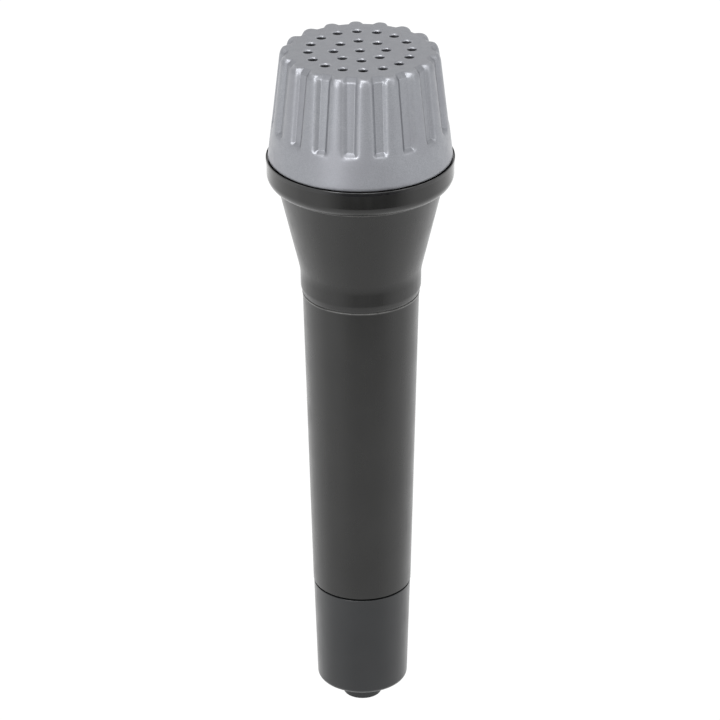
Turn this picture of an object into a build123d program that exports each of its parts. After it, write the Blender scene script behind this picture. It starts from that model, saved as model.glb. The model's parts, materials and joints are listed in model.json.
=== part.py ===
from build123d import *
import os

# Hand-held spring-echo microphone, in millimetres.
# It stands on its tail: the origin is the centre of the tail plug's flat end, and +Z runs up to the head.

# Whole object
total_height = 250.0
wall = 2.0
fit_gap = 0.08
assembly_gap = 0.1

# Tail plug and end cap
plug_radius = 6.89
plug_height = 7.44
plug_stem_radius = 4.5
plug_lip_radius = 5.6
plug_lip_thickness = 1.2
plug_core_radius = 2.6

cap_base_radius = 16.05
cap_rim_radius = 17.2
cap_rounding = 1.75
cap_rim_rounding = 0.35
cap_top = 46.75
cap_spigot_radius = 15.2
cap_spigot_wall = 1.8
cap_spigot_top = 56.5

tail_groove_width = 0.6
tail_groove_depth = 0.5

# Barrel
barrel_foot = cap_top + tail_groove_width
barrel_shoulder = 161.4
barrel_foot_radius = 17.35
barrel_shoulder_radius = 20.1
barrel_foot_rounding = 0.35
barrel_bore_radius = cap_spigot_radius + fit_gap
barrel_spigot_radius = 18.9
barrel_spigot_top = 171.0
barrel_spigot_bore = 17.2
bridge_stop_foot = 59.7
bridge_stop_top = 62.2
bridge_stop_radius = 13.2
barrel_wide_bore = 15.4

# Horn: neck, cone and collar in one moulding
neck_radius = 20.76
neck_top = 170.0
neck_rounding = 0.5
neck_blend = 6.0
cone_top = 201.2
cone_top_radius = 27.95
collar_radius = 31.8
collar_top = 210.4
collar_sweep_rise = 1.2
collar_sweep_radius = 5.0
collar_rim_rounding = 0.4
cone_bore_radius = 25.4
pocket_radius = 29.0
pocket_floor = 203.2

# Gloss ring between the head and the collar
rim_ring_radius = 32.2
rim_ring_bore = 29.4
rim_ring_height = 2.2
rim_ring_rounding = 0.5

# Head grille
head_foot = collar_top + rim_ring_height
head_foot_radius = 31.25
head_foot_rounding = 0.5
head_top_radius = 26.78
head_top_rounding = 1.4
head_wall = 1.6
head_spigot_radius = pocket_radius - fit_gap
head_spigot_wall = 1.5
head_spigot_foot = 206.7
head_shelf_thickness = 1.8

flute_count = 18
flute_depth = 1.45
flute_foot = 223.8
flute_ramp = 1.0
flute_half_width_top = 2.1
flute_half_width_foot = 1.9
flute_side_slope = 0.75

hole_radius = 1.82
hole_rings = ((0.0, 1), (8.83, 8), (17.46, 16))

# Diaphragm and its clamp
gasket_thickness = 0.8
seat_bore_radius = 25.6
clamp_ring_height = 2.0
clamp_ring_rounding = 0.4
diaphragm_thickness = 0.4
diaphragm_roll_radius = 1.6
diaphragm_roll_centre = 23.2
diaphragm_dish_depth = 4.4
diaphragm_centre_radius = 6.0

# Spring hub: the diaphragm is clamped between its flange and the washer
hub_flange_radius = 5.6
hub_flange_thickness = 1.6
hub_stem_radius = 1.5
hub_stem_length = 4.4
washer_radius = 4.5
washer_thickness = 0.6
nut_across_flats = 5.5
nut_thickness = 2.4
boss_length = 8.5

# Echo spring, its two bosses and their cross pins
wire_radius = 0.45
coil_radius = 4.5
coil_turns = 24.5
boss_radius = coil_radius - wire_radius - assembly_gap
pin_radius = 0.6
pin_reach = 5.3

# Anchor bridge
bridge_thickness = 2.5
bridge_rim_width = 2.4
bridge_hub_radius = 5.6
spoke_count = 3
spoke_width = 3.2

# Heights that follow from the ones above
bridge_foot = bridge_stop_foot - bridge_thickness
diaphragm_foot = pocket_floor + gasket_thickness
diaphragm_centre_foot = diaphragm_foot - diaphragm_dish_depth
hub_flange_foot = diaphragm_centre_foot - hub_flange_thickness
coil_foot = bridge_stop_foot + wire_radius + assembly_gap
coil_top = hub_flange_foot - wire_radius - assembly_gap
coil_pitch = (coil_top - coil_foot) / coil_turns


def turned(*corners):
    """Solid of revolution about Z.

    A corner is (radius, height), with a rounding radius as a third value where it has one."""
    points = [(corner[0], corner[1]) for corner in corners]
    roundings = [corner[2] if len(corner) > 2 else 0 for corner in corners]
    outline = FilletPolyline(*points, radius=roundings, close=True)
    profile = Plane.XZ * make_face(outline)
    return revolve(profile, axis=Axis.Z)


def ring(inner, outer, foot, top):
    """Plain ring, or a disc where the inner radius is 0."""
    return turned((inner, foot), (outer, foot), (outer, top), (inner, top))


def cylinder_between(start, end, radius):
    """Round bar from one point to another."""
    axis = Vector(*end) - Vector(*start)
    return extrude(Plane(origin=start, z_dir=axis) * Circle(radius), amount=axis.length)


def cap_radius_at(height):
    """The end cap's draft, from its base to its rim."""
    share = (height - plug_height) / (cap_top - plug_height)
    return cap_base_radius + share * (cap_rim_radius - cap_base_radius)


def head_radius_at(height):
    """The head's outer radius on a land between two flutes."""
    share = (height - head_foot) / (total_height - head_foot)
    return head_foot_radius + share * (head_top_radius - head_foot_radius)


def tail_plug():
    cap_floor_top = plug_height + wall
    body = turned(
        (0, 0),
        (plug_radius, 0),
        (plug_radius, plug_height),
        (plug_stem_radius - assembly_gap, plug_height),
        (plug_stem_radius - assembly_gap, cap_floor_top),
        (plug_lip_radius, cap_floor_top),
        (plug_stem_radius, cap_floor_top + plug_lip_thickness),
        (0, cap_floor_top + plug_lip_thickness),
    )
    core = ring(0, plug_core_radius, wall, total_height)
    return body - core


def end_cap():
    floor_top = plug_height + wall
    spigot_bore = cap_spigot_radius - cap_spigot_wall
    return turned(
        (plug_stem_radius, plug_height),
        (cap_base_radius, plug_height, cap_rounding),
        (cap_rim_radius, cap_top, cap_rim_rounding),
        (cap_spigot_radius, cap_top),
        (cap_spigot_radius, cap_spigot_top, 0.5),
        (spigot_bore, cap_spigot_top),
        (spigot_bore, cap_top - wall),
        (cap_radius_at(floor_top) - wall, floor_top, 1.0),
        (plug_stem_radius, floor_top),
    )


def tail_seal_ring():
    outer = cap_rim_radius - tail_groove_depth
    return turned(
        (cap_spigot_radius + assembly_gap, cap_top),
        (outer, cap_top, 0.2),
        (outer, barrel_foot, 0.2),
        (cap_spigot_radius + assembly_gap, barrel_foot),
    )


def barrel():
    return turned(
        (barrel_bore_radius, barrel_foot),
        (barrel_foot_radius, barrel_foot, barrel_foot_rounding),
        (barrel_shoulder_radius, barrel_shoulder),
        (barrel_spigot_radius, barrel_shoulder),
        (barrel_spigot_radius, barrel_spigot_top, 0.5),
        (barrel_spigot_bore, barrel_spigot_top),
        (barrel_wide_bore, bridge_stop_top + 1.5),
        (bridge_stop_radius, bridge_stop_top),
        (bridge_stop_radius, bridge_stop_foot),
        (barrel_bore_radius, bridge_stop_foot),
    )


def horn_body():
    neck_bore = barrel_spigot_radius + fit_gap
    return turned(
        (neck_bore, barrel_shoulder),
        (neck_radius, barrel_shoulder, neck_rounding),
        (neck_radius, neck_top, neck_blend),
        (cone_top_radius, cone_top),
        (collar_radius, cone_top + collar_sweep_rise, collar_sweep_radius),
        (collar_radius, collar_top, collar_rim_rounding),
        (pocket_radius, collar_top),
        (pocket_radius, pocket_floor),
        (cone_bore_radius, pocket_floor),
        (neck_bore - 0.4, barrel_spigot_top + 1.5),
        (neck_bore, barrel_spigot_top + 0.5),
    )


def rim_ring():
    return turned(
        (rim_ring_bore, collar_top),
        (rim_ring_radius, collar_top, rim_ring_rounding),
        (rim_ring_radius, head_foot, rim_ring_rounding),
        (rim_ring_bore, head_foot),
    )


def flute_section(height, depth, half_width):
    """Cross-section of one flute on the +X side: a trapezoid that narrows towards its floor."""
    land = head_radius_at(height)
    slope = flute_side_slope
    return Plane.XY.offset(height) * Polygon(
        (land - depth, -half_width + slope),
        (land + 1.0, -half_width - slope),
        (land + 1.0, half_width + slope),
        (land - depth, half_width - slope),
        align=None,
    )


def flute_cutter(extra):
    """One flute, grown by extra on its floor, sides and foot to make the matching rib inside the shell."""
    above = total_height + 2.0
    foot = flute_foot - extra
    floor_foot = foot + flute_ramp
    top = flute_section(above, flute_depth + extra, flute_half_width_top + extra)
    middle = flute_section(floor_foot, flute_depth + extra, flute_half_width_foot + extra)
    bottom = flute_section(foot, 0.1, flute_half_width_foot + extra)
    return loft([middle, top], ruled=True) + loft([bottom, middle], ruled=True)


def around(shape, count):
    """Evenly spaced copies of a shape about Z, the first where the shape is."""
    return [Rot(0, 0, 360 * index / count) * shape for index in range(count)]


def grille_holes():
    above = total_height + 1.0
    below = total_height - head_wall - 1.0
    holes = []
    for pitch_radius, count in hole_rings:
        hole = Pos(pitch_radius, 0, 0) * ring(0, hole_radius, below, above)
        holes += around(hole, count)
    return holes


def head_grille():
    spigot_bore = head_spigot_radius - head_spigot_wall
    shelf_top = head_foot + head_shelf_thickness
    ceiling = total_height - head_wall
    outside = turned(
        (0, head_spigot_foot),
        (head_spigot_radius, head_spigot_foot, 0.5),
        (head_spigot_radius, head_foot),
        (head_foot_radius, head_foot, head_foot_rounding),
        (head_top_radius, total_height, head_top_rounding),
        (0, total_height),
    )
    inside = turned(
        (0, head_spigot_foot - 1.0),
        (spigot_bore, head_spigot_foot - 1.0),
        (spigot_bore, shelf_top),
        (head_radius_at(shelf_top + 1.0) - head_wall, shelf_top + 1.0),
        (head_radius_at(ceiling) - head_wall, ceiling, 0.8),
        (0, ceiling),
    )
    inside -= around(flute_cutter(head_wall), flute_count)
    shell = outside - around(flute_cutter(0.0), flute_count)
    return shell - inside - grille_holes()


def diaphragm_gasket():
    return ring(seat_bore_radius, pocket_radius - assembly_gap, pocket_floor, diaphragm_foot)


def clamp_ring():
    foot = diaphragm_foot + diaphragm_thickness
    outer = pocket_radius - assembly_gap
    return turned(
        (seat_bore_radius, foot),
        (outer, foot),
        (outer, foot + clamp_ring_height, clamp_ring_rounding),
        (seat_bore_radius, foot + clamp_ring_height, clamp_ring_rounding),
    )


def diaphragm():
    """Flat flange, upstanding half-round roll, shallow cone and a flat centre with a stem hole."""
    thickness = diaphragm_thickness
    roll_outer = diaphragm_roll_centre + diaphragm_roll_radius
    roll_inner = diaphragm_roll_centre - diaphragm_roll_radius
    roll_top = diaphragm_foot + diaphragm_roll_radius
    stem_hole = hub_stem_radius + 0.05
    with BuildSketch(Plane.XZ) as profile:
        with BuildLine():
            Polyline(
                (roll_inner, diaphragm_foot),
                (diaphragm_centre_radius, diaphragm_centre_foot),
                (stem_hole, diaphragm_centre_foot),
                (stem_hole, diaphragm_centre_foot + thickness),
                (diaphragm_centre_radius, diaphragm_centre_foot + thickness),
                (roll_inner, diaphragm_foot + thickness),
            )
            ThreePointArc(
                (roll_inner, diaphragm_foot + thickness),
                (diaphragm_roll_centre, roll_top + thickness),
                (roll_outer, diaphragm_foot + thickness),
            )
            Polyline(
                (roll_outer, diaphragm_foot + thickness),
                (pocket_radius - 2 * assembly_gap, diaphragm_foot + thickness),
                (pocket_radius - 2 * assembly_gap, diaphragm_foot),
                (roll_outer, diaphragm_foot),
            )
            ThreePointArc(
                (roll_outer, diaphragm_foot),
                (diaphragm_roll_centre, roll_top),
                (roll_inner, diaphragm_foot),
            )
        make_face()
    return revolve(profile.sketch, axis=Axis.Z)


def spring_hub():
    boss_foot = hub_flange_foot - boss_length
    body = turned(
        (0, boss_foot),
        (boss_radius, boss_foot, 0.8),
        (boss_radius, hub_flange_foot),
        (hub_flange_radius, hub_flange_foot),
        (hub_flange_radius, diaphragm_centre_foot),
        (hub_stem_radius, diaphragm_centre_foot),
        (hub_stem_radius, diaphragm_centre_foot + hub_stem_length, 0.3),
        (0, diaphragm_centre_foot + hub_stem_length),
    )
    return body - pin_hole(hub_pin_height())


def hub_washer():
    foot = diaphragm_centre_foot + diaphragm_thickness
    return ring(hub_stem_radius + 0.05, washer_radius, foot, foot + washer_thickness)


def hub_nut():
    foot = diaphragm_centre_foot + diaphragm_thickness + washer_thickness
    hexagon = RegularPolygon(nut_across_flats / 2, 6, major_radius=False)
    outline = hexagon - Circle(hub_stem_radius + 0.05)
    return extrude(Plane.XY.offset(foot) * outline, amount=nut_thickness)


def hub_pin_height():
    """Midway between the wires that pass it on its two sides, which are half a turn apart."""
    return coil_top - coil_pitch / 4


def anchor_pin_height():
    return coil_foot + coil_pitch / 4


def pin_hole(height):
    radius = pin_radius + 0.02
    return cylinder_between((-boss_radius - 1, 0, height), (boss_radius + 1, 0, height), radius)


def cross_pin(height):
    return cylinder_between((-pin_reach, 0, height), (pin_reach, 0, height), pin_radius)


def echo_spring():
    centreline = Helix(
        pitch=coil_pitch,
        height=coil_top - coil_foot,
        radius=coil_radius,
        center=(0, 0, coil_foot),
    )
    section = Plane(origin=centreline @ 0, z_dir=centreline % 0) * Circle(wire_radius)
    return sweep(section, path=centreline, is_frenet=True)


def anchor_bridge():
    rim_outer = barrel_bore_radius - assembly_gap
    rim_inner = rim_outer - bridge_rim_width
    rim = ring(rim_inner, rim_outer, bridge_foot, bridge_stop_foot)
    hub = ring(0, bridge_hub_radius, bridge_foot, bridge_stop_foot)
    boss = turned(
        (0, bridge_foot),
        (boss_radius, bridge_foot),
        (boss_radius, bridge_stop_foot + boss_length, 0.8),
        (0, bridge_stop_foot + boss_length),
    )
    spoke_length = rim_inner - bridge_hub_radius + 1.0
    spoke = Pos(bridge_hub_radius - 0.5, 0, bridge_foot) * Box(
        spoke_length,
        spoke_width,
        bridge_thickness,
        align=(Align.MIN, Align.CENTER, Align.MIN),
    )
    return rim + hub + boss + around(spoke, spoke_count) - pin_hole(anchor_pin_height())


nodes = {
    "tail_plug": tail_plug(),
    "end_cap": end_cap(),
    "tail_seal_ring": tail_seal_ring(),
    "barrel": barrel(),
    "horn_body": horn_body(),
    "rim_ring": rim_ring(),
    "head_grille": head_grille(),
    "diaphragm_gasket": diaphragm_gasket(),
    "clamp_ring": clamp_ring(),
    "diaphragm": diaphragm(),
    "spring_hub": spring_hub(),
    "hub_washer": hub_washer(),
    "hub_nut": hub_nut(),
    "hub_pin": cross_pin(hub_pin_height()),
    "echo_spring": echo_spring(),
    "anchor_bridge": anchor_bridge(),
    "anchor_pin": cross_pin(anchor_pin_height()),
}

os.makedirs("parts", exist_ok=True)
for name, shape in nodes.items():
    export_step(shape, f"parts/{name}.step")
    print(name, round(shape.volume, 1), "mm3")
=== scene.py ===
import json
import math

import bpy
from mathutils import Matrix, Vector
from mathutils.geometry import delaunay_2d_cdt


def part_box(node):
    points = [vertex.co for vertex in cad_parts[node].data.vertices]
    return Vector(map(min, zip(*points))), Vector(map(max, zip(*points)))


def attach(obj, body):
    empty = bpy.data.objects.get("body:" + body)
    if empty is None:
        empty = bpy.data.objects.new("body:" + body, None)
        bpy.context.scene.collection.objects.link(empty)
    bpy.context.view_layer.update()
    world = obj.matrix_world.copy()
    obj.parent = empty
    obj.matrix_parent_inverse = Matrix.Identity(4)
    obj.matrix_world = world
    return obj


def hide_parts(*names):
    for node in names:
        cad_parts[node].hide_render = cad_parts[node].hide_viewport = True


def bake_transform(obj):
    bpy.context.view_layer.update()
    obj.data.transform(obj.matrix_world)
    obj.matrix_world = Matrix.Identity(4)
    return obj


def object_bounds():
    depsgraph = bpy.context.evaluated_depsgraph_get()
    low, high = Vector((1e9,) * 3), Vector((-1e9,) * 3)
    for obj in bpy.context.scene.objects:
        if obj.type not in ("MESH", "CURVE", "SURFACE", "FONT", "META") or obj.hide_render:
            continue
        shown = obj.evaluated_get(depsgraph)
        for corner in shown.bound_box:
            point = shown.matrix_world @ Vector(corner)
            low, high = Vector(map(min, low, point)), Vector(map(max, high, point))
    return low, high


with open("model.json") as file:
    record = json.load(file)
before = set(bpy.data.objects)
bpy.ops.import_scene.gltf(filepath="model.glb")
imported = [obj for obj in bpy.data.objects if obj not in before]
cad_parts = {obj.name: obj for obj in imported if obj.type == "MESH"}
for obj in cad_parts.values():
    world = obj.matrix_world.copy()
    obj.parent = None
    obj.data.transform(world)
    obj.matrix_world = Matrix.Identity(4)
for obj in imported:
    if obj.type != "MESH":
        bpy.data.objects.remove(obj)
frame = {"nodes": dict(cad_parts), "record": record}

# A hand-held spring-echo microphone standing on its tail. Lengths are in millimetres until a mesh is
# made, and MM turns them into metres. Heights and main radii are read from the CAD frame.
MM = 0.001
cad_low, cad_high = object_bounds()

ARC_STEPS = 6
ARC_STEPS_PER_MM = 3
ON_AXIS = 1e-6


def span(node):
    """Foot height, top height and outer radius of a CAD node, in millimetres."""
    low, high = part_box(node)
    return low.z / MM, high.z / MM, high.y / MM


# ---------------------------------------------------------------- outlines and meshes

def rounded(corners):
    """Points of a closed outline of (radius, height, rounding, mark) corners, the mark laid along each arc.
    Small marks stand for rubbing, and large ones paint a highlight line in the pale edge colour.
    """
    points = []
    count = len(corners)
    for index, corner in enumerate(corners):
        here = Vector(corner[:2])
        rounding = corner[2] if len(corner) > 2 else 0
        mark_weight = corner[3] if len(corner) > 3 else 1
        if rounding == 0:
            points.append((here.x, here.y, 0.0))
            continue
        to_last = (Vector(corners[index - 1][:2]) - here).normalized()
        to_next = (Vector(corners[(index + 1) % count][:2]) - here).normalized()
        half_angle = to_last.angle(to_next) / 2
        centre = here + (to_last + to_next).normalized() * rounding / math.sin(half_angle)
        reach = rounding / math.tan(half_angle)
        first = here + to_last * reach - centre
        last = here + to_next * reach - centre
        turn = first.angle_signed(last)
        steps = ARC_STEPS + round(ARC_STEPS_PER_MM * rounding)
        for step in range(steps + 1):
            spoke = first.copy()
            spoke.rotate(Matrix.Rotation(-turn * step / steps, 2))
            mark = mark_weight * math.sin(math.pi * step / steps)
            points.append((centre.x + spoke.x, centre.y + spoke.y, mark))
    return points


def make_object(name, vertices, faces, edge_marks=None, sharp_angle=38):
    """A smooth-shaded mesh object in metres, with the edge marks for rubbing and painted highlight kept as a
    point attribute.
    """
    mesh = bpy.data.meshes.new(name)
    mesh.from_pydata([tuple(v * MM for v in vertex) for vertex in vertices], [], faces)
    if edge_marks:
        attribute = mesh.attributes.new("edge_wear_and_highlight", "FLOAT", "POINT")
        attribute.data.foreach_set("value", edge_marks)
    mesh.validate()
    mesh.shade_smooth()
    mesh.set_sharp_from_angle(angle=math.radians(sharp_angle))
    shape = bpy.data.objects.new(name, mesh)
    bpy.context.scene.collection.objects.link(shape)
    return shape


def ring_faces(first_ring, second_ring):
    """Quads between two rings of vertex numbers."""
    count = len(first_ring)
    faces = []
    for index in range(count):
        after = (index + 1) % count
        faces.append((first_ring[index], first_ring[after], second_ring[after], second_ring[index]))
    return faces


def subdivided(points, longest):
    """The outline with its long stretches cut up, so that no step is over the longest."""
    result = []
    for index, (radius, height, mark) in enumerate(points):
        after = points[(index + 1) % len(points)]
        length = math.hypot(after[0] - radius, after[1] - height)
        pieces = max(1, math.ceil(length / longest))
        result.append((radius, height, mark))
        for piece in range(1, pieces):
            share = piece / pieces
            result.append((
                radius + share * (after[0] - radius),
                height + share * (after[1] - height),
                0.0,
            ))
    return result


def lathe(name, corners, segments=192, longest=6.0, sharp_angle=38):
    """A closed turned piece from a closed outline. Points on the axis become single vertices."""
    points = subdivided(rounded(corners), longest)
    vertices = []
    marks = []
    rings = []
    for radius, height, mark in points:
        start = len(vertices)
        if radius < ON_AXIS:
            vertices.append((0.0, 0.0, height))
            marks.append(mark)
            rings.append([start] * segments)
            continue
        for segment in range(segments):
            angle = 2 * math.pi * segment / segments
            vertices.append((radius * math.cos(angle), radius * math.sin(angle), height))
            marks.append(mark)
        rings.append(list(range(start, start + segments)))
    faces = []
    for index, ring in enumerate(rings):
        following = rings[(index + 1) % len(rings)]
        for face in ring_faces(ring, following):
            corners_of_face = list(dict.fromkeys(face))
            if len(corners_of_face) > 2:
                faces.append(corners_of_face)
    shape = make_object(name, vertices, faces, marks, sharp_angle)
    weighted = shape.modifiers.new("even_normals", "WEIGHTED_NORMAL")
    weighted.keep_sharp = True
    return shape


# ---------------------------------------------------------------- materials

def new_material(name, colour, roughness, metallic=0.0):
    """A material with these values on its shader's own sockets, for the functions below to detail."""
    material = bpy.data.materials.new(name)
    material.use_nodes = True
    shader = material.node_tree.nodes["Principled BSDF"]
    shader.inputs["Base Color"].default_value = (*colour, 1)
    shader.inputs["Roughness"].default_value = roughness
    shader.inputs["Metallic"].default_value = metallic
    return material, shader


def noise(material, scale, detail=3.0, stretch=(1, 1, 1)):
    """Noise in the object's own coordinates, in features per metre, drawn out along an axis by stretch."""
    nodes, links = material.node_tree.nodes, material.node_tree.links
    place = nodes.new("ShaderNodeTexCoord")
    mapping = nodes.new("ShaderNodeMapping")
    mapping.inputs["Scale"].default_value = stretch
    links.new(place.outputs["Object"], mapping.inputs["Vector"])
    texture = nodes.new("ShaderNodeTexNoise")
    texture.inputs["Scale"].default_value = scale
    texture.inputs["Detail"].default_value = detail
    links.new(mapping.outputs["Vector"], texture.inputs["Vector"])
    return texture.outputs["Fac"]


def spread(material, source, low=0.0, high=1.0, start=0.3, end=0.7):
    """Maps a mask's stretch from start to end onto the values from low to high."""
    node = material.node_tree.nodes.new("ShaderNodeMapRange")
    node.inputs["From Min"].default_value = start
    node.inputs["From Max"].default_value = end
    node.inputs["To Min"].default_value = low
    node.inputs["To Max"].default_value = high
    material.node_tree.links.new(source, node.inputs["Value"])
    return node.outputs["Result"]


def multiply(material, first, second):
    node = material.node_tree.nodes.new("ShaderNodeMath")
    node.operation = "MULTIPLY"
    material.node_tree.links.new(first, node.inputs[0])
    material.node_tree.links.new(second, node.inputs[1])
    return node.outputs["Value"]


def blend_colours(material, mask, first, second):
    """Mixes two colours, or a colour over another mix, by a mask."""
    node = material.node_tree.nodes.new("ShaderNodeMix")
    node.data_type = "RGBA"
    links = material.node_tree.links
    links.new(mask, node.inputs["Factor"])
    for socket, value in ((node.inputs[6], first), (node.inputs[7], second)):
        if isinstance(value, tuple):
            socket.default_value = (*value, 1)
        else:
            links.new(value, socket)
    return node.outputs[2]


def bump(material, shader, height, strength, distance, before=None):
    """Adds a bump to the shader's normal, after an earlier one if there is one."""
    node = material.node_tree.nodes.new("ShaderNodeBump")
    node.inputs["Strength"].default_value = strength
    node.inputs["Distance"].default_value = distance
    links = material.node_tree.links
    links.new(height, node.inputs["Height"])
    if before is not None:
        links.new(before, node.inputs["Normal"])
    links.new(node.outputs["Normal"], shader.inputs["Normal"])
    return node.outputs["Normal"]


def edge_mask(material, patchiness):
    """Where an edge is rounded and a coarse noise is high: the places that rub, and, where an outline's mark
    is large, a painted highlight line.
    """
    attribute = material.node_tree.nodes.new("ShaderNodeAttribute")
    attribute.attribute_name = "edge_wear_and_highlight"
    patches = spread(material, noise(material, patchiness), low=0.05, high=0.25, start=0.4, end=0.65)
    return multiply(material, attribute.outputs["Fac"], patches)


COLLAR_POLISH = 0.6
POLISH_FROM, POLISH_TO = 0.2025, 0.2050


def polish_mask(material):
    """One on the satin faces, and less above the collar's underside, where the mould is polished."""
    nodes, links = material.node_tree.nodes, material.node_tree.links
    place = nodes.new("ShaderNodeTexCoord")
    split = nodes.new("ShaderNodeSeparateXYZ")
    links.new(place.outputs["Object"], split.inputs["Vector"])
    height = split.outputs["Z"]
    return spread(material, height, low=1.0, high=COLLAR_POLISH, start=POLISH_FROM, end=POLISH_TO)


def moulded_plastic(name, dark, light, pale_edge, roughness_low, roughness_high, grain=0.12):
    """Satin injection-moulded plastic: slow colour drift, faint flow streaks, fine grain, edges paler where
    they rub, and painted highlight lines in the pale edge colour where an outline marks an edge strongly.
    """
    material, shader = new_material(name, dark, roughness_low)
    shader.inputs["IOR"].default_value = 1.455
    links = material.node_tree.links
    drift = spread(material, noise(material, scale=45, detail=2.0), start=0.35, end=0.65)
    colour = blend_colours(material, drift, dark, light)
    pale_edge_share = edge_mask(material, patchiness=260)
    links.new(blend_colours(material, pale_edge_share, colour, pale_edge), shader.inputs["Base Color"])
    streaks = spread(material, noise(material, scale=900, stretch=(1, 1, 0.03)))
    clouds = spread(material, noise(material, scale=130))
    mottle = multiply(material, streaks, clouds)
    satin = spread(material, mottle, roughness_low, roughness_high, start=0.0, end=0.8)
    links.new(multiply(material, satin, polish_mask(material)), shader.inputs["Roughness"])
    sparks = noise(material, scale=3200, detail=2.0)
    fine = bump(material, shader, sparks, strength=grain, distance=0.00004)
    waves = noise(material, scale=210, detail=2.0)
    bump(material, shader, waves, strength=0.05, distance=0.0002, before=fine)
    return material


def flake_cells(material, scale):
    """Random values, one for each flake-sized cell, in three channels."""
    nodes, links = material.node_tree.nodes, material.node_tree.links
    cells = nodes.new("ShaderNodeTexVoronoi")
    cells.inputs["Scale"].default_value = scale
    place = nodes.new("ShaderNodeTexCoord")
    links.new(place.outputs["Object"], cells.inputs["Vector"])
    channels = nodes.new("ShaderNodeSeparateColor")
    links.new(cells.outputs["Color"], channels.inputs["Color"])
    return channels.outputs


def silver_paint():
    """Satin metallic paint over moulded plastic: fine flakes, orange peel and slightly paler rubbed edges."""
    dark_flake, light_flake = (0.220, 0.227, 0.245), (0.278, 0.286, 0.306)
    clouded = (0.235, 0.237, 0.258)
    pale_edge = (0.62, 0.63, 0.66)
    material, shader = new_material("silver_paint_look", (0.31, 0.32, 0.34), 0.36, 0.9)
    links = material.node_tree.links
    flakes = flake_cells(material, scale=5200)
    flake_tone = spread(material, flakes["Red"], start=0.0, end=1.0)
    colour = blend_colours(material, flake_tone, dark_flake, light_flake)
    clouds = spread(material, noise(material, scale=70), low=0.0, high=0.55, start=0.35, end=0.65)
    colour = blend_colours(material, clouds, colour, clouded)
    pale_edge_share = edge_mask(material, patchiness=300)
    links.new(blend_colours(material, pale_edge_share, colour, pale_edge), shader.inputs["Base Color"])
    haze = spread(material, noise(material, scale=380, detail=4.0), low=0.33, high=0.44)
    links.new(haze, shader.inputs["Roughness"])
    fine = bump(material, shader, flakes["Green"], strength=0.10, distance=0.00003)
    orange_peel = noise(material, scale=620, detail=2.0)
    bump(material, shader, orange_peel, strength=0.10, distance=0.00008, before=fine)
    return material


def gloss_black():
    """Polished black plastic with faint swirls and dust-fine haze, and a pale edge colour that paints the
    highlight line on the ring's lip.
    """
    # The third colour is painted highlight on the ring's lip, and light wear on the ring's other edges.
    dark, light, pale_edge = (0.005, 0.005, 0.0055), (0.009, 0.009, 0.0095), (0.10, 0.10, 0.10)
    material, shader = new_material("gloss_black_look", (0.006, 0.006, 0.0065), 0.1)
    shader.inputs["IOR"].default_value = 1.5
    links = material.node_tree.links
    haze = spread(material, noise(material, scale=700, detail=4.0), low=0.08, high=0.2)
    links.new(haze, shader.inputs["Roughness"])
    tint = spread(material, noise(material, scale=90, detail=2.0))
    colour = blend_colours(material, tint, dark, light)
    pale_edge_share = edge_mask(material, patchiness=400)
    links.new(blend_colours(material, pale_edge_share, colour, pale_edge), shader.inputs["Base Color"])
    bump(material, shader, noise(material, scale=500, detail=2.0), strength=0.04, distance=0.00005)
    return material


def black_rubber():
    """Matt moulded rubber with a fine pebble and a dusty bloom."""
    dark, dusty = (0.004, 0.004, 0.004), (0.012, 0.012, 0.0117)
    material, shader = new_material("black_rubber_look", (0.011, 0.011, 0.011), 0.7)
    shader.inputs["Specular IOR Level"].default_value = 0.2
    links = material.node_tree.links
    bloom = spread(material, noise(material, scale=600, detail=4.0))
    links.new(blend_colours(material, bloom, dark, dusty), shader.inputs["Base Color"])
    matt = spread(material, bloom, low=0.6, high=0.85, start=0.0, end=1.0)
    links.new(matt, shader.inputs["Roughness"])
    bump(material, shader, noise(material, scale=4200, detail=2.0), strength=0.25, distance=0.00005)
    return material


def steel(name, low_tone, high_tone, roughness_low, roughness_high, stretch):
    """Plated or drawn steel with fine lines and a few dull patches."""
    material, shader = new_material(name, low_tone, roughness_low, 1.0)
    links = material.node_tree.links
    lines = noise(material, scale=2600, stretch=stretch)
    patches = spread(material, noise(material, scale=420), start=0.4, end=0.7)
    links.new(blend_colours(material, patches, high_tone, low_tone), shader.inputs["Base Color"])
    links.new(spread(material, lines, roughness_low, roughness_high), shader.inputs["Roughness"])
    bump(material, shader, lines, strength=0.12, distance=0.00003)
    return material


def diaphragm_film():
    """Thin vacuum-formed sheet, slightly cloudy."""
    dark, light = (0.035, 0.035, 0.04), (0.06, 0.06, 0.066)
    material, shader = new_material("diaphragm_film_look", (0.05, 0.05, 0.055), 0.25)
    links = material.node_tree.links
    cloud = spread(material, noise(material, scale=160))
    links.new(blend_colours(material, cloud, dark, light), shader.inputs["Base Color"])
    sheen = spread(material, noise(material, scale=500), low=0.2, high=0.36)
    links.new(sheen, shader.inputs["Roughness"])
    bump(material, shader, noise(material, scale=900, detail=2.0), strength=0.08, distance=0.00005)
    return material


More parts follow.
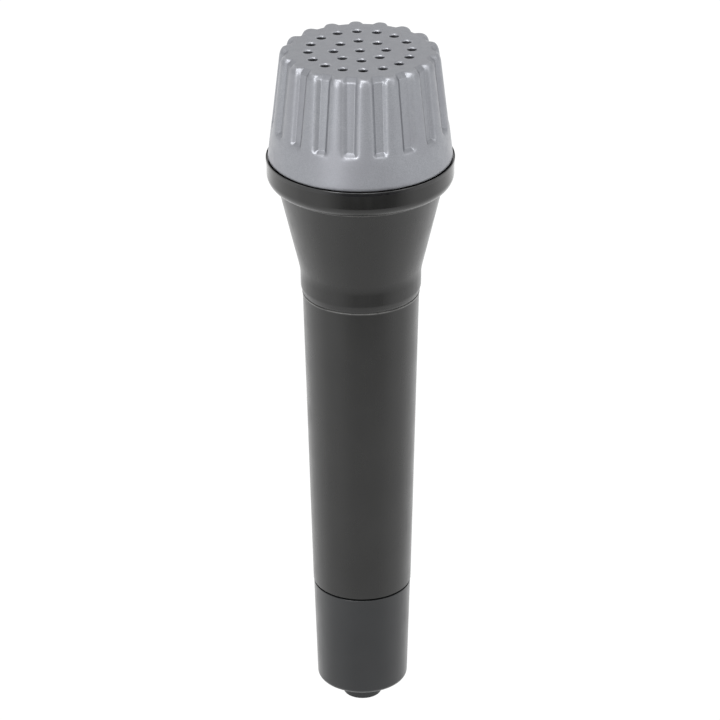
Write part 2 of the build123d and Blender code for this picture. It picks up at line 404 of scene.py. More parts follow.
looks = {
    "silver_paint": silver_paint(),
    "gloss_black": gloss_black(),
    "charcoal_plastic": moulded_plastic(
        "charcoal_plastic_look",
        # The pale edge colour paints the highlight lines on the barrel's lip and the horn's bead, and light
        # wear elsewhere.
        dark=(0.0062, 0.0062, 0.0059), light=(0.0088, 0.0088, 0.0084), pale_edge=(0.09, 0.089, 0.086),
        roughness_low=0.27, roughness_high=0.36,
    ),
    "cap_plastic": moulded_plastic(
        "cap_plastic_look",
        dark=(0.0090, 0.0097, 0.0107), light=(0.0120, 0.0128, 0.0138), pale_edge=(0.10, 0.10, 0.10),
        roughness_low=0.28, roughness_high=0.37,
    ),
    "inner_plastic": moulded_plastic(
        "inner_plastic_look",
        dark=(0.020, 0.020, 0.020), light=(0.028, 0.028, 0.028), pale_edge=(0.05, 0.05, 0.05),
        roughness_low=0.42, roughness_high=0.58, grain=0.2,
    ),
    "black_rubber": black_rubber(),
    "bright_steel": steel(
        "bright_steel_look",
        low_tone=(0.48, 0.48, 0.48), high_tone=(0.62, 0.61, 0.60),
        roughness_low=0.2, roughness_high=0.4, stretch=(1, 1, 1),
    ),
    "spring_steel": steel(
        "spring_steel_look",
        low_tone=(0.38, 0.38, 0.39), high_tone=(0.55, 0.55, 0.56),
        roughness_low=0.22, roughness_high=0.4, stretch=(1, 1, 0.2),
    ),
    "diaphragm_film": diaphragm_film(),
}


def slot_of(node):
    """The material slot that the part's record gives a CAD node."""
    for subpart in frame["record"]["subparts"]:
        if subpart["node"] == node:
            return subpart["material_slot"]
    return None


def body_of(node):
    """The body that a CAD node moves with."""
    for body, members in frame["record"]["behaviour"]["bodies"].items():
        if node in members:
            return body
    return None


def dress(shape, node):
    """Gives a new piece the finish of the CAD node that it stands for, and hides that node."""
    slot = slot_of(node)
    shape.data.materials.clear()
    shape.data.materials.append(looks[slot])
    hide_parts(node)


def stand_for(shape, node):
    """The piece takes the CAD node's finish and place, and rides on the node's body."""
    dress(shape, node)
    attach(shape, body_of(node))


# ---------------------------------------------------------------- turned outer pieces

# Each corner of an outline is (radius, height, rounding, mark). Where the last two are left out, the corner
# is sharp, and where only the mark is left out, it is 1.
# Small marks are wear; the large marks on the barrel's lip, the horn's bead and the ring's lip paint
# highlight lines in the pale edge colour.

plug_foot, plug_lip_top, plug_radius = span("tail_plug")
cap_foot, cap_spigot_top, cap_radius = span("end_cap")
seal_foot, seal_top, seal_radius = span("tail_seal_ring")
_, barrel_top, barrel_radius = span("barrel")
horn_foot, horn_top, collar_radius = span("horn_body")
ring_foot, ring_top, ring_radius = span("rim_ring")
head_spigot_foot, head_top, _ = span("head_grille")

NECK_SEAM = horn_foot
SEAM_EASE = 0.08
TAIL_SEAM_FOOT = seal_foot - SEAM_EASE
TAIL_SEAM_TOP = seal_top + SEAM_EASE
WALL = 2.0
CAP_FLOOR_TOP = cap_foot + WALL
PLUG_STEM = 4.4


def make_tail_plug():
    """The boss that the microphone stands on, held in the cap's floor by its barbed hollow stem."""
    core = 2.6
    draft = 0.04
    barb = 1.2
    barb_tip = 0.1
    plug = lathe("tail_plug_moulding", (
        (0, plug_foot),
        (plug_radius, plug_foot, 0.45),
        (plug_radius - draft, cap_foot, 0.05),
        (PLUG_STEM, cap_foot),
        (PLUG_STEM, CAP_FLOOR_TOP),
        (PLUG_STEM + barb, CAP_FLOOR_TOP, 0.1),
        (PLUG_STEM + barb_tip, plug_lip_top, 0.3),
        (core, plug_lip_top, 0.2),
        (core, plug_foot + WALL, 0.4),
        (0, plug_foot + WALL),
    ), segments=144, longest=3.0)
    stand_for(plug, "tail_plug")


def make_end_cap():
    """The hollow cap under the handle, with the spigot that pushes into the barrel."""
    spigot_radius = 15.2
    spigot_bore = 13.4
    base_radius = 16.05
    stem_hole = PLUG_STEM + 0.1
    cap = lathe("end_cap_moulding", (
        (stem_hole, cap_foot, 0.2),
        (base_radius, cap_foot, 1.75, 0),
        (cap_radius, TAIL_SEAM_FOOT, 0.25, 0.4),
        (spigot_radius, TAIL_SEAM_FOOT),
        (spigot_radius, cap_spigot_top, 0.5),
        (spigot_bore, cap_spigot_top, 0.3),
        (spigot_bore, seal_foot - WALL, 0.4),
        (base_radius - WALL, CAP_FLOOR_TOP, 1.0),
        (stem_hole, CAP_FLOOR_TOP, 0.2),
    ))
    stand_for(cap, "end_cap")


def make_tail_seal_ring():
    """The black ring at the bottom of the groove between the cap and the barrel."""
    bore = 15.3
    recess = 0.5
    outer = seal_radius - recess
    seal = lathe("tail_seal_moulding", (
        (bore, TAIL_SEAM_FOOT),
        (outer, TAIL_SEAM_FOOT, 0.15),
        (outer, TAIL_SEAM_TOP, 0.15),
        (bore, TAIL_SEAM_TOP),
    ), segments=192, longest=3.0, sharp_angle=60)
    stand_for(seal, "tail_seal_ring")


def make_barrel():
    """The tapered handle tube, with a fine raised lip under the neck, a spigot and a stop in its bore."""
    foot_radius = 17.35
    foot_bore = 15.28
    lip_radius = barrel_radius + 0.24
    lip_middle = NECK_SEAM - 0.25
    spigot_radius = 18.9
    top_bore = 17.2
    stop_slope_top, stop_slope_bore = 63.7, 15.4
    stop_top, stop_foot = 62.2, 59.7
    stop_bore = 13.2
    barrel = lathe("barrel_moulding", (
        (foot_bore, TAIL_SEAM_TOP, 0.3),
        (foot_radius, TAIL_SEAM_TOP, 0.25, 0.4),
        (barrel_radius + 0.02, NECK_SEAM - 0.75, 0.6, 0),
        # These two corners' large marks paint a highlight line along the lip in the pale edge colour.
        (lip_radius, lip_middle, 0.26, 13),
        (barrel_radius + 0.05, NECK_SEAM, 0.12, 13),
        (spigot_radius, NECK_SEAM),
        (spigot_radius, barrel_top, 0.5),
        (top_bore, barrel_top, 0.3),
        (stop_slope_bore, stop_slope_top),
        (stop_bore, stop_top, 0.3),
        (stop_bore, stop_foot),
        (foot_bore, stop_foot),
    ))
    stand_for(barrel, "barrel")


def make_horn():
    """One moulding: the neck on the barrel, the cone, a fine bead and the collar, swept underneath."""
    neck_foot = NECK_SEAM + 0.03
    neck_radius = 20.76
    neck_bore = 18.98
    neck_top = 170.0
    cone_top, cone_top_radius = 201.3, 28.17
    bead_middle, bead_radius = 201.62, 28.56
    sweep_foot, sweep_inner = 201.82, 28.38
    sweep_corner, sweep_outer = 202.25, collar_radius + 0.2
    rim_radius = collar_radius + 0.16
    pocket_radius, pocket_floor = 29.0, 203.2
    cone_bore = 25.4
    bore_top = 171.5
    horn = lathe("horn_moulding", (
        (neck_bore, neck_foot),
        (neck_radius - 0.66, neck_foot, 0.1, 0),
        (neck_radius - 0.35, NECK_SEAM + 0.9, 1.2, 0),
        (neck_radius, NECK_SEAM + 2.4, 4.0, 0),
        (neck_radius + 0.08, neck_top, 16.0, 0),
        (cone_top_radius, cone_top),
        # The bead's large mark paints a highlight line along it in the pale edge colour.
        (bead_radius, bead_middle, 0.2, 10),
        (sweep_inner, sweep_foot, 0.06, 0),
        (sweep_outer, sweep_corner, 4.2, 0),
        (rim_radius, horn_top, 0.08, 0),
        (pocket_radius, horn_top, 0.25),
        (pocket_radius, pocket_floor, 0.2),
        (cone_bore, pocket_floor, 0.2),
        (neck_bore - 0.4, bore_top + 1.0),
        (neck_bore, bore_top),
    ), segments=224)
    stand_for(horn, "horn_body")


def make_rim_ring():
    """The gloss black ring, with a gutter behind its lip and under the silver skirt."""
    bore = 29.4
    lip = ring_top - 0.8
    gutter = ring_top - 1.35
    lip_inner = ring_radius - 0.28
    gutter_outer = ring_radius - 0.34
    ring = lathe("rim_ring_moulding", (
        (bore, ring_foot, 0.2),
        (ring_radius, ring_foot, 0.08, 0),
        # These two corners' marks paint a highlight line along the lip in the pale edge colour.
        (ring_radius, lip, 0.25, 2),
        (lip_inner, lip, 0.08, 2),
        (gutter_outer, gutter, 0.1),
        (bore, gutter, 0.2),
    ), segments=224)
    stand_for(ring, "rim_ring")


# ---------------------------------------------------------------- head grille

# The flutes are sunk into the head's side, and FLUTE_HALF_TOP and FLUTE_HALF_FOOT are half their width.
# Their edges slope: over FLUTE_RUN times the spread at the sides, and over FLUTE_RAMP at the foot.
FLUTES = 18
FLUTE_DEPTH = 1.45
FLUTE_RUN = 0.95
FLUTE_SLOPE = math.atan(FLUTE_DEPTH / FLUTE_RUN)
FLUTE_LIP = 223.2
FLUTE_RAMP = 1.4
FLUTE_HALF_TOP = 2.8
FLUTE_SPREAD_TOP = 1.35
FLUTE_HALF_FOOT = 2.65
FLUTE_SPREAD_FOOT = 1.5
FLUTE_CORNER = 0.9
LIP_ROUND = 0.85
FLOOR_ROUND = 0.35
LIP_REACH = LIP_ROUND * math.tan(FLUTE_SLOPE / 2)
FLOOR_REACH = FLOOR_ROUND * math.tan(FLUTE_SLOPE / 2)
LIP_WEAR = 0.35
LIP_WEAR_MIDDLE, LIP_WEAR_WIDTH = 0.05, 0.22

# The lands between the flutes are crowned from just under the flutes' feet up, and end in a shoulder.
LAND_CROWN = 0.3
CROWN_START, CROWN_RISE = 221.5, 5
SHOULDER_INSET = 1.15
SHOULDER_DROP = 3.0
SHOULDER_WIDENING = 0.45
SHOULDER_WEAR_DROP = 1.5
SHOULDER_STEPS = 22

# The flat slanted facet at the top of each flute.
FACET_HEIGHT = 1.5
FACET_INSET = 1.75
FACET_EASE = 0.25
FACET_END_DROP, FACET_END_INSET = 0.5, 0.15

HEAD_FOOT_RADIUS = 31.4
HEAD_TOP_RADIUS = 27.0
SHELL = 1.6
PLATE = 1.6
CEILING = head_top - PLATE
CEILING_CORNER = ((0.0, 0.6), (0.2, 0.15), (0.8, 0.0))
INNER_LIMIT = head_top - 3.2
INNER_RISES = (20.8, 14.8, 8.8, 3.2, 2.4, 1.8, 1.2, 0.6, 0.0, -1.2)

SPIGOT_RADIUS = 28.92
SPIGOT_BORE = 27.42
SPIGOT_ROUND = 0.5
SPIGOT_BEVEL = 0.15
SHELF_TOP = ring_top + 1.8
SKIRT_FOOT = ring_top - 0.75
SKIRT_ROUND = 0.35
SIDE_START = ring_top + 0.6

HOLE_BORE = 1.55
HOLE_ROUND = 0.75
HOLE_RINGS = ((0.0, 1), (8.83, 8), (17.46, 16))
HOLE_SEGMENTS = 40
HOLE_SUPPORT = 0.12
HOLE_BREAK = 0.08


def smooth_step(share):
    """Eases from nothing at 0 to one at 1."""
    share = min(1.0, max(0.0, share))
    return share * share * (3 - 2 * share)


def land_radius(height):
    """The head's tapered side, before its flutes and its rounded shoulder."""
    share = (height - ring_top) / (head_top - ring_top)
    return HEAD_FOOT_RADIUS + share * (HEAD_TOP_RADIUS - HEAD_FOOT_RADIUS)


def flute_depth_at(inside):
    """Depth at a distance inside the flute's outline: a slope, rounded at its lip and at its floor."""
    if inside <= -LIP_REACH:
        return 0.0
    if inside < LIP_REACH * math.cos(FLUTE_SLOPE):
        return LIP_ROUND - math.sqrt(LIP_ROUND ** 2 - (inside + LIP_REACH) ** 2)
    if inside < FLUTE_RUN - FLOOR_REACH * math.cos(FLUTE_SLOPE):
        return inside * math.tan(FLUTE_SLOPE)
    if inside < FLUTE_RUN + FLOOR_REACH:
        rest = FLUTE_RUN + FLOOR_REACH - inside
        return FLUTE_DEPTH - (FLOOR_ROUND - math.sqrt(FLOOR_ROUND ** 2 - rest ** 2))
    return FLUTE_DEPTH


def shoulder_inset(height):
    """How far the rounded shoulder has drawn in the lands at a height."""
    share = (height - (head_top - SHOULDER_DROP)) / SHOULDER_DROP
    if share <= 0:
        return 0.0
    return SHOULDER_INSET * (1 - math.sqrt(max(0.0, 1 - share * share)))


def facet_inset(height):
    """How far the slanted facet at the top of each flute has drawn in the floor at a height."""
    rise = height - (head_top - FACET_HEIGHT)
    slope = FACET_INSET / FACET_HEIGHT
    if rise <= -FACET_EASE:
        return 0.0
    if rise < FACET_EASE:
        return slope * (rise + FACET_EASE) ** 2 / (4 * FACET_EASE)
    last = max(0.0, height - (head_top - FACET_END_DROP)) / FACET_END_DROP
    return slope * rise + FACET_END_INSET * (1 - math.sqrt(max(0.0, 1 - last * last)))


def half_width(height):
    """Half of a flute's width at a height, a little more where the shoulder draws the lands in."""
    share = (height - FLUTE_LIP) / (head_top - FLUTE_LIP)
    width = FLUTE_HALF_FOOT + share * (FLUTE_HALF_TOP - FLUTE_HALF_FOOT)
    return width + SHOULDER_WIDENING * shoulder_inset(height)


def side_spread(height):
    """How much flatter a flute's sides are than its foot, which eases off towards the top."""
    share = (height - FLUTE_LIP) / (head_top - FLUTE_LIP)
    return FLUTE_SPREAD_FOOT + share * (FLUTE_SPREAD_TOP - FLUTE_SPREAD_FOOT)


def columns_at(height):
    """Distances round the head from a flute's middle to the next land's middle, dense on the slope."""
    half = half_width(height)
    spread_by = side_spread(height)
    half_period = land_radius(height) * math.pi / FLUTES
    floor_end = half - (FLUTE_RUN + FLOOR_REACH) * spread_by
    floor_round_end = half - (FLUTE_RUN - FLOOR_REACH * math.cos(FLUTE_SLOPE)) * spread_by
    lip_round_start = half - LIP_REACH * math.cos(FLUTE_SLOPE) * spread_by
    lip_round_end = half + LIP_REACH * spread_by
    stretches = (
        (0.0, floor_end, 4),
        (floor_end, floor_round_end, 4),
        (floor_round_end, lip_round_start, 4),
        (lip_round_start, lip_round_end, 5),
        (lip_round_end, half_period, 5),
    )
    distances = []
    for start, end, pieces in stretches:
        distances += [start + (end - start) * piece / pieces for piece in range(pieces)]
    return distances + [half_period]


def side_point(distance, height):
    """Radius and wear mark on the head's side, at a distance round it from a flute's middle."""
    half = half_width(height)
    inside_side = (half - distance) / side_spread(height)
    inside_foot = (height - FLUTE_LIP) * FLUTE_RUN / FLUTE_RAMP
    if inside_side < FLUTE_CORNER and inside_foot < FLUTE_CORNER:
        gap = math.hypot(FLUTE_CORNER - inside_side, FLUTE_CORNER - inside_foot)
        inside = FLUTE_CORNER - gap
    else:
        inside = min(inside_side, inside_foot)
    depth = flute_depth_at(inside)
    share = depth / FLUTE_DEPTH
    half_period = land_radius(height) * math.pi / FLUTES
    off_crown = max(0.0, half_period - distance) / (half_period - half)
    crown = LAND_CROWN * min(1.0, off_crown) ** 2 * smooth_step((height - CROWN_START) / CROWN_RISE)
    inset = shoulder_inset(height) * (1 - share) + facet_inset(height) * share
    lip_mark = LIP_WEAR * math.exp(-((inside - LIP_WEAR_MIDDLE) / LIP_WEAR_WIDTH) ** 2)
    worn_from = head_top - SHOULDER_WEAR_DROP
    shoulder_mark = smooth_step((height - worn_from) / SHOULDER_WEAR_DROP) * (1 - share)
    return land_radius(height) - inset - crown * (1 - share) - depth, max(lip_mark, shoulder_mark)


def head_heights():
    """Heights of the rings up the head's side, close together at the flutes' feet and at the shoulder."""
    heights = []
    closer_from = FLUTE_LIP - 1.2
    dense_from, dense_to = FLUTE_LIP - 0.5, FLUTE_LIP + 2.5
    for start, end, pieces in (
        (SIDE_START, closer_from, 6),
        (closer_from, dense_from, 3),
        (dense_from, dense_to, 24),
        (dense_to, head_top - SHOULDER_DROP, 8),
    ):
        heights += [start + (end - start) * piece / pieces for piece in range(pieces)]
    for step in range(SHOULDER_STEPS + 1):
        rise = SHOULDER_DROP * math.sin(math.pi / 2 * step / SHOULDER_STEPS)
        heights.append(head_top - SHOULDER_DROP + rise)
    return heights


class HeadMesh:
    """Collects the head's rings and plates into one closed mesh."""

    def __init__(self):
        self.vertices = []
        self.marks = []
        self.faces = []

    def add(self, points, mark=0.0):
        """Adds points of x, y, height and maybe a wear mark, and gives their numbers."""
        start = len(self.vertices)
        for point in points:
            self.vertices.append(tuple(point[:3]))
            self.marks.append(point[3] if len(point) > 3 else mark)
        return list(range(start, len(self.vertices)))

    def ring(self, height, radius_at):
        """A ring of points at a height. radius_at gives radius and mark for a distance from a flute."""
        distances = columns_at(max(height, FLUTE_LIP))
        period = 2 * math.pi / FLUTES
        reach = distances[-1]
        angles = [period / 2 * distance / reach for distance in distances]
        values = [radius_at(distance) for distance in distances]
        points = []
        for flute in range(FLUTES):
            middle = flute * period
            for angle, (radius, mark) in zip(angles, values):
                points.append(self.polar(middle + angle, radius, height, mark))
            for angle, (radius, mark) in zip(angles[-2:0:-1], values[-2:0:-1]):
                points.append(self.polar(middle + period - angle, radius, height, mark))
        return self.add(points)

    @staticmethod
    def polar(angle, radius, height, mark):
        return radius * math.cos(angle), radius * math.sin(angle), height, mark

    def join(self, lower, upper):
        """Joins two rings with a band of quads."""
        self.faces += ring_faces(lower, upper)

    def plate(self, outline, holes, height, facing_up):
        """Fills the space between an outline ring and the rings of the holes with triangles."""
        rings = [outline, *holes]
        points = []
        edges = []
        owners = []
        for ring in rings:
            start = len(points)
            for index, vertex in enumerate(ring):
                points.append(Vector(self.vertices[vertex][:2]))
                edges.append((start + index, start + (index + 1) % len(ring)))
                owners.append(vertex)
        made, _, triangles, sources, _, _ = delaunay_2d_cdt(points, edges, [], 0, 1e-7)
        hole_discs = []
        for ring in holes:
            centre = sum((Vector(self.vertices[vertex][:2]) for vertex in ring), Vector((0, 0))) / len(ring)
            hole_discs.append((centre, (Vector(self.vertices[ring[0]][:2]) - centre).length))
        edge_radii = [Vector(self.vertices[vertex][:2]).length for vertex in outline]
        edge_angles = []
        for vertex in outline:
            x, y = self.vertices[vertex][:2]
            edge_angles.append(math.atan2(y, x) % (2 * math.pi))
        for triangle in triangles:
            middle = sum((made[corner] for corner in triangle), Vector((0, 0))) / 3
            if any((middle - centre).length < radius for centre, radius in hole_discs):
                continue
            if middle.length > self.radius_towards(middle, edge_angles, edge_radii):
                continue
            corners = [owners[sources[corner][0]] for corner in triangle]
            self.faces.append(corners if facing_up else corners[::-1])

    @staticmethod
    def radius_towards(point, angles, radii):
        """The outline's radius in the direction of a point, between its two nearest corners."""
        angle = math.atan2(point.y, point.x) % (2 * math.pi)
        count = len(angles)
        low, high = 0, count
        while high - low > 1:
            middle = (low + high) // 2
            if angles[middle] <= angle:
                low = middle
            else:
                high = middle
        after = (low + 1) % count
        width = (angles[after] - angles[low]) % (2 * math.pi)
        share = (angle - angles[low]) / width if width else 0.0
        return radii[low] + share * (radii[after] - radii[low])


def hole_ring(head, centre, radius, height, mark=0.0):
    """A ring of points round one hole's centre."""
    points = []
    for segment in range(HOLE_SEGMENTS):
        angle = 2 * math.pi * segment / HOLE_SEGMENTS
        x = centre[0] + radius * math.cos(angle)
        y = centre[1] + radius * math.sin(angle)
        points.append((x, y, height, mark))
    return head.add(points)


def grille_hole(head, centre):
    """One through hole with a rounded mouth. Gives its outermost ring on the plate and on the ceiling."""
    outer = HOLE_BORE + HOLE_ROUND
    steps = 6
    stack = [hole_ring(head, centre, outer + HOLE_SUPPORT, head_top)]
    for step in range(steps + 1):
        turn = math.pi / 2 * step / steps
        radius = outer - HOLE_ROUND * math.sin(turn)
        height = head_top - HOLE_ROUND * (1 - math.cos(turn))
        stack.append(hole_ring(head, centre, radius, height, math.sin(2 * turn)))
    stack.append(hole_ring(head, centre, HOLE_BORE, CEILING + HOLE_BREAK))
    stack.append(hole_ring(head, centre, HOLE_BORE + HOLE_BREAK, CEILING))
    for upper, lower in zip(stack, stack[1:]):
        head.join(lower, upper)
    return stack[0], stack[-1]


def plain(radius, mark=0.0):
    """A round ring: the same radius and wear mark at every distance from a flute."""
    return lambda distance: (radius, mark)


def inner_side(height, drawn_in=0.0):
    """The inner face, a shell's thickness inside the fluted outer one, and straight over INNER_LIMIT."""
    level = min(height, INNER_LIMIT)
    return lambda distance: (side_point(distance, level)[0] - SHELL - drawn_in, 0.0)


def inner_rings(head):
    """From the ceiling's edge down the inside of the shell to the shelf over the spigot."""
    rings = []
    for drop, drawn_in in CEILING_CORNER:
        rings.append(head.ring(CEILING - drop, inner_side(CEILING - drop, drawn_in)))
    for rise in INNER_RISES:
        rings.append(head.ring(FLUTE_LIP + rise, inner_side(FLUTE_LIP + rise)))
    slope_top = SHELF_TOP + 1.0
    rings.append(head.ring(slope_top, plain(land_radius(slope_top) - SHELL)))
    return rings


def spigot_rings(head):
    """Down the spigot's bore, round its foot and up its outside to the skirt."""
    steps = 4
    rings = [
        head.ring(SHELF_TOP, plain(SPIGOT_BORE)),
        head.ring(head_spigot_foot + SPIGOT_BEVEL, plain(SPIGOT_BORE)),
        head.ring(head_spigot_foot, plain(SPIGOT_BORE + SPIGOT_BEVEL)),
    ]
    for step in range(steps + 1):
        angle = math.pi / 2 * step / steps
        rings.append(head.ring(
            head_spigot_foot + SPIGOT_ROUND * (1 - math.cos(angle)),
            plain(SPIGOT_RADIUS - SPIGOT_ROUND * (1 - math.sin(angle))),
        ))
    rings.append(head.ring(SKIRT_FOOT, plain(SPIGOT_RADIUS)))
    return rings


def skirt_rings(head):
    """Out under the skirt and round its lower edge, which is worn."""
    steps = 6
    flat = 0.3
    skirt_radius = land_radius(SKIRT_FOOT + SKIRT_ROUND)
    rings = [head.ring(SKIRT_FOOT, plain(skirt_radius - SKIRT_ROUND - flat))]
    for step in range(steps):
        angle = math.pi / 2 * step / steps
        rings.append(head.ring(
            SKIRT_FOOT + SKIRT_ROUND * (1 - math.cos(angle)),
            plain(skirt_radius - SKIRT_ROUND * (1 - math.sin(angle)), math.sin(2 * angle)),
        ))
    return rings


def outer_rings(head):
    """Up the fluted side and over the shoulder to the edge of the top plate."""
    rings = []
    for height in head_heights():
        rings.append(head.ring(height, lambda distance, height=height: side_point(distance, height)))
    plate_edge = 0.3
    rings.append(head.ring(head_top, lambda distance: (side_point(distance, head_top)[0] - plate_edge, 0.0)))
    return rings


def make_head():
    """The silver shell: fluted side, rounded shoulder, flat perforated plate, skirt and spigot."""
    head = HeadMesh()
    rings = inner_rings(head) + spigot_rings(head) + skirt_rings(head) + outer_rings(head)
    for lower, upper in zip(rings, rings[1:]):
        head.join(lower, upper)
    holes_on_top = []
    holes_on_ceiling = []
    for pitch_radius, count in HOLE_RINGS:
        for index in range(count):
            angle = 2 * math.pi * index / count
            centre = (pitch_radius * math.cos(angle), pitch_radius * math.sin(angle))
            top_ring, ceiling_ring = grille_hole(head, centre)
            holes_on_top.append(top_ring)
            holes_on_ceiling.append(ceiling_ring)
    head.plate(rings[-1], holes_on_top, head_top, True)
    head.plate(rings[0], holes_on_ceiling, CEILING, False)
    shape = make_object("head_grille_shell", head.vertices, head.faces, head.marks, sharp_angle=60)
    stand_for(shape, "head_grille")


# ---------------------------------------------------------------- spring and diaphragm

def make_spring():
    """Round wire on a helix from the bridge's boss to the hub's boss."""
    wire_radius = 0.45
    coil_radius = 4.5
    turns = 24.5
    steps_per_turn = 40
    sides = 12
    end_taper = 0.9
    low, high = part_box("echo_spring")
    foot = low.z / MM + wire_radius
    top = high.z / MM - wire_radius
    pitch = (top - foot) / turns
    count = int(turns * steps_per_turn) + 1
    vertices = []
    rings = []
    for index in range(count):
        angle = 2 * math.pi * index / steps_per_turn
        outwards = Vector((math.cos(angle), math.sin(angle), 0))
        along = Vector((-math.sin(angle), math.cos(angle), pitch / (2 * math.pi * coil_radius))).normalized()
        upwards = along.cross(outwards)
        centre = outwards * coil_radius + Vector((0, 0, foot + pitch * index / steps_per_turn))
        at_end = index in (0, count - 1)
        radius = wire_radius * (end_taper if at_end else 1.0)
        rings.append(list(range(len(vertices), len(vertices) + sides)))
        for side in range(sides):
            turn = 2 * math.pi * side / sides
            aside = outwards * radius * math.cos(turn) + upwards * radius * math.sin(turn)
            vertices.append(tuple(centre + aside))
    faces = []
    for lower, upper in zip(rings, rings[1:]):
        faces += [face[::-1] for face in ring_faces(lower, upper)]
    faces.append(rings[0])
    faces.append(rings[-1][::-1])
    spring = make_object("echo_spring_wire", vertices, faces, sharp_angle=50)
    dress(spring, "echo_spring")
    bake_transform(spring)


def make_diaphragm():
    """Thin formed sheet: flange, raised half-round roll, shallow ribbed cone and flat centre."""
    low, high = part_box("diaphragm")
    thickness = 0.4
    centre_foot = low.z / MM
    roll_radius = 1.6
    flange_foot = high.z / MM - roll_radius - thickness
    rim = high.x / MM
    roll_centre = 23.2
    roll_inner = roll_centre - roll_radius
    centre_radius = 6.0
    centre_edge = centre_radius - 0.4
    centre_hole = 1.55
    flange_middle = 27.0
    rib_height = 0.12
    half_waves = 10
    profile = [(centre_hole, centre_foot), (centre_edge, centre_foot)]
    cone_steps = 30
    for step in range(cone_steps + 1):
        share = step / cone_steps
        radius = centre_radius + share * (roll_inner - centre_radius)
        ripple = rib_height * math.sin(share * math.pi * half_waves) * math.sin(math.pi * share)
        profile.append((radius, centre_foot + share * (flange_foot - centre_foot) + ripple))
    roll_steps = 14
    for step in range(1, roll_steps):
        angle = math.pi * (1 - step / roll_steps)
        radius = roll_centre + roll_radius * math.cos(angle)
        profile.append((radius, flange_foot + roll_radius * math.sin(angle)))
    roll_outer = roll_centre + roll_radius
    profile += [(roll_outer, flange_foot), (flange_middle, flange_foot), (rim, flange_foot)]
    corners = profile + [(radius, height + thickness) for radius, height in reversed(profile)]
    sheet = lathe("diaphragm_sheet", corners, segments=160, sharp_angle=70)
    sheet.modifiers.clear()
    dress(sheet, "diaphragm")
    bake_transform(sheet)


make_tail_plug()
make_end_cap()
make_tail_seal_ring()
make_barrel()
make_horn()
make_rim_ring()
make_head()
make_spring()
make_diaphragm()

for node, shape in frame["nodes"].items():
    shape.data.materials.clear()
    shape.data.materials.append(looks[slot_of(node)])


# ---------------------------------------------------------------- studio and camera

def unseen_piece(name, mesh, material):
    """A studio piece that lights and reflects but isn't drawn itself."""
    piece = bpy.data.objects.new(name, mesh)
    bpy.context.scene.collection.objects.link(piece)
    piece.data.materials.append(material)
    piece.visible_camera = False
    return piece


def glowing_material(name, colour, roughness):
    """A stage material with no gloss that glows white, and its shader."""
    material, shader = new_material(name, colour, roughness)
    shader.inputs["Specular IOR Level"].default_value = 0.0
    shader.inputs["Emission Color"].default_value = (1, 1, 1, 1)
    return material, shader


def make_floor():
    """A plain pale floor, which lights the microphone from below and is reflected in it."""
    reach = 6.0
    albedo = 0.4
    glow = 0.82
    corners = [(-reach, -reach, 0), (reach, -reach, 0), (reach, reach, 0), (-reach, reach, 0)]
    mesh = bpy.data.meshes.new("studio_floor")
    mesh.from_pydata(corners, [], [(0, 1, 2, 3)])
    material, shader = glowing_material("studio_floor_look", (albedo, albedo, albedo), 0.75)
    shader.inputs["Emission Strength"].default_value = glow
    floor = unseen_piece("studio_floor", mesh, material)


CAMERA_TURN = math.radians(-93.3)


def around_object(turn_degrees, elevation_degrees, distance):
    """A point round the microphone, its turn measured from the camera's side."""
    turn = CAMERA_TURN + math.radians(turn_degrees)
    elevation = math.radians(elevation_degrees)
    flat = distance * math.cos(elevation)
    middle = (cad_low.z + cad_high.z) / 2
    return Vector((flat * math.cos(turn), flat * math.sin(turn), middle + distance * math.sin(elevation)))


SOFTBOX_DISTANCE = 1.5
WORLD_STRENGTH = 1.05


def make_softbox(name, turn_degrees, elevation_degrees, size, watts):
    """A rectangular area light aimed at the microphone's middle. Its width and height are in metres."""
    data = bpy.data.lights.new(name, "AREA")
    data.shape = "RECTANGLE"
    data.size, data.size_y = size
    data.energy = watts
    light = bpy.data.objects.new(name, data)
    light.location = around_object(turn_degrees, elevation_degrees, SOFTBOX_DISTANCE)
    target = Vector((0, 0, (cad_low.z + cad_high.z) / 2))
    light.rotation_euler = (target - light.location).to_track_quat("-Z", "Y").to_euler()
    light.visible_camera = False
    bpy.context.scene.collection.objects.link(light)


def make_studio():
    """White surroundings, three softboxes, the floor and the card of painted shade."""
    world = bpy.data.worlds.new("pale_studio")
    world.use_nodes = True
    background = world.node_tree.nodes["Background"]
    background.inputs["Color"].default_value = (1, 1, 1, 1)
    background.inputs["Strength"].default_value = WORLD_STRENGTH
    bpy.context.scene.world = world
    make_softbox("key_softbox", turn_degrees=-14, elevation_degrees=54, size=(1.3, 0.55), watts=9.5)
    make_softbox("side_softbox", turn_degrees=-31, elevation_degrees=20, size=(0.36, 0.9), watts=7.5)
    make_softbox("fill_softbox", turn_degrees=52, elevation_degrees=26, size=(0.5, 1.0), watts=2.2)
    make_floor()
    make_painted_shade_card()


def falloff(value, full, gone):
    """One up to a first value, easing down to nothing at a second."""
    return 1 - smooth_step((value - full) / (gone - full))


# The card is a sector of the floor, in metres and degrees from the camera's side. It is about as bright as
# the floor, except in a dark core and in a faint shade from the microphone out past the core: painted shade
# standing in for the shade on the floor in front, which the plastic reflects.
CARD_ROWS, CARD_COLUMNS = 40, 48
CARD_NEAREST, CARD_FURTHEST = 0.02, 0.9
CARD_HALF_ANGLE = 90
CARD_TURN = 10
CARD_HEIGHT = 0.0005
CARD_GLOW = 1.25
CORE_SHARE, NEAR_SHARE = 1.0, 0.16
CORE_NEAR, CORE_NEAR_EASE = 0.36, 0.08
CORE_FAR, CORE_FAR_GONE = 0.52, 0.74
SHADE_FULL, SHADE_GONE = 22, 62


def card_shade(radius):
    """How dark the card's painted shade is at a distance from the microphone, along its middle."""
    core = CORE_SHARE * falloff(CORE_NEAR - radius, 0.0, CORE_NEAR_EASE)
    core *= falloff(radius, CORE_FAR, CORE_FAR_GONE)
    return max(core, NEAR_SHARE * falloff(radius, CORE_FAR, CARD_FURTHEST))


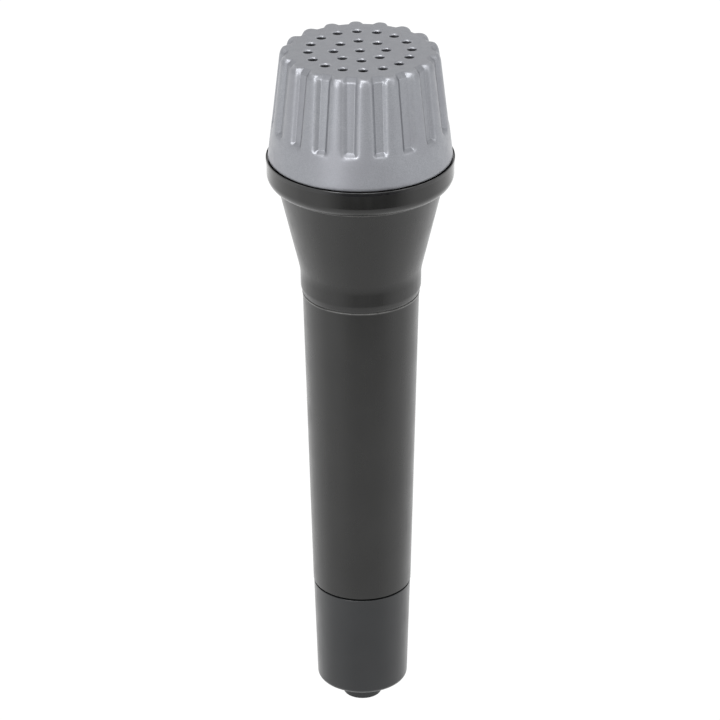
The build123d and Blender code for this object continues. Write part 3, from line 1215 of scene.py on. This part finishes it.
def card_mesh():
    """The card's grid, with its brightness at each point in the glow attribute."""
    vertices = []
    glow = []
    for row in range(CARD_ROWS + 1):
        radius = CARD_NEAREST + (CARD_FURTHEST - CARD_NEAREST) * row / CARD_ROWS
        for column in range(CARD_COLUMNS + 1):
            degrees = CARD_HALF_ANGLE * (2 * column / CARD_COLUMNS - 1)
            turn = CAMERA_TURN + math.radians(CARD_TURN + degrees)
            vertices.append((radius * math.cos(turn), radius * math.sin(turn), CARD_HEIGHT))
            shade = card_shade(radius) * falloff(abs(degrees), SHADE_FULL, SHADE_GONE)
            glow.append(CARD_GLOW * (1 - shade))
    across = CARD_COLUMNS + 1
    faces = []
    for row in range(CARD_ROWS):
        for column in range(CARD_COLUMNS):
            corner = row * across + column
            faces.append((corner, corner + 1, corner + 1 + across, corner + across))
    mesh = bpy.data.meshes.new("painted_shade_card")
    mesh.from_pydata(vertices, [], faces)
    mesh.attributes.new("glow", "FLOAT", "POINT").data.foreach_set("value", glow)
    return mesh


def make_painted_shade_card():
    """A soft patch of painted shade on the floor before the microphone. Only its reflection shows, in the
    plastic.
    """
    material, shader = glowing_material("painted_shade_card_look", (0.01, 0.01, 0.01), 0.9)
    attribute = material.node_tree.nodes.new("ShaderNodeAttribute")
    attribute.attribute_name = "glow"
    material.node_tree.links.new(attribute.outputs["Fac"], shader.inputs["Emission Strength"])
    card = unseen_piece("painted_shade_card", card_mesh(), material)
    card.visible_diffuse = False
    card.visible_shadow = False
    card.visible_transmission = False


def make_camera():
    """A long lens looking down at the microphone from a little above its head."""
    camera_distance = 1.21387
    camera_height = 0.74231
    pitch = 0.4647
    roll = -0.0043
    aim_left = 0.000352
    lens = 194.8
    sensor_width = 36.0
    data = bpy.data.cameras.new("camera")
    data.lens = lens
    data.sensor_width = sensor_width
    data.clip_start, data.clip_end = 0.05, 50.0
    camera = bpy.data.objects.new("camera", data)
    place = Vector((math.cos(CAMERA_TURN), math.sin(CAMERA_TURN), 0)) * camera_distance
    camera.location = (place.x, place.y, camera_height)
    heading = CAMERA_TURN + math.pi + aim_left
    forward = Vector((
        math.cos(pitch) * math.cos(heading),
        math.cos(pitch) * math.sin(heading),
        -math.sin(pitch),
    ))
    right = forward.cross(Vector((0, 0, 1))).normalized()
    up = right.cross(forward)
    turned_right = right * math.cos(roll) + up * math.sin(roll)
    turned_up = up * math.cos(roll) - right * math.sin(roll)
    rotation = Matrix((turned_right, turned_up, -forward)).transposed()
    camera.rotation_euler = rotation.to_euler()
    bpy.context.scene.collection.objects.link(camera)
    bpy.context.scene.camera = camera


make_studio()
make_camera()
bpy.context.scene.view_settings.view_transform = "Standard"
